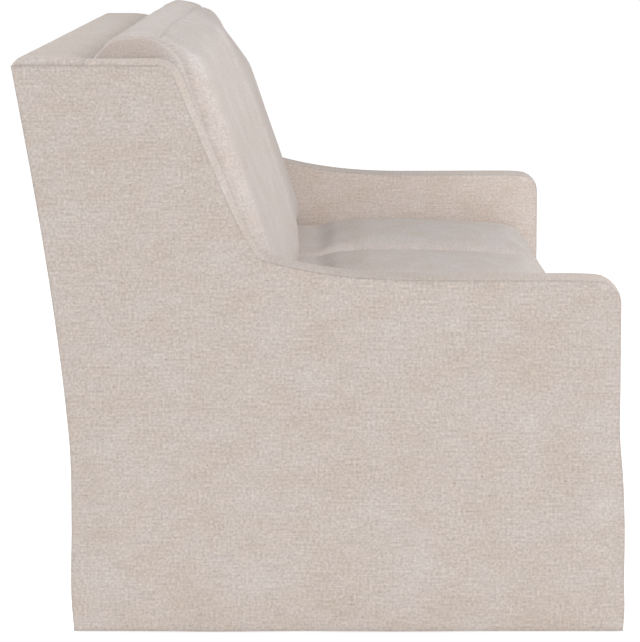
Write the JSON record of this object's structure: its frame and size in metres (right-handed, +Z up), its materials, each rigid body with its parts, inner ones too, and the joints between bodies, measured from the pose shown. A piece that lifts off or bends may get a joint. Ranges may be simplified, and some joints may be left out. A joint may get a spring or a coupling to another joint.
{
  "type": "sofa slipcover with fitted cushions",
  "caption": "Fitted linen sofa slipcover, hollow for the sofa's frame, with low wings, straight hem, seat cushions and back cushions in the same cloth.",
  "frame": {"origin": "middle of the cover's length and depth, at the hem", "axes": "+X along the sofa, -Y out of its front, +Z up"},
  "size_m": [2.212, 1.0101, 0.9893],
  "materials": {
    "cover_linen": "matte",
    "cushion_linen": "matte"
  },
  "bodies": {
    "root": {"outside_arm_left": "cover_linen", "outside_arm_right": "cover_linen", "inside_arm_left": "cover_linen", "inside_arm_right": "cover_linen", "arm_band_left": "cover_linen", "arm_band_right": "cover_linen", "top_band": "cover_linen", "outside_back": "cover_linen", "inside_back": "cover_linen", "deck": "cover_linen", "apron": "cover_linen", "seat_cushion_left": "cushion_linen", "seat_cushion_middle": "cushion_linen", "seat_cushion_right": "cushion_linen", "back_cushion_left": "cushion_linen", "back_cushion_right": "cushion_linen"}
  },
  "joints": []
}
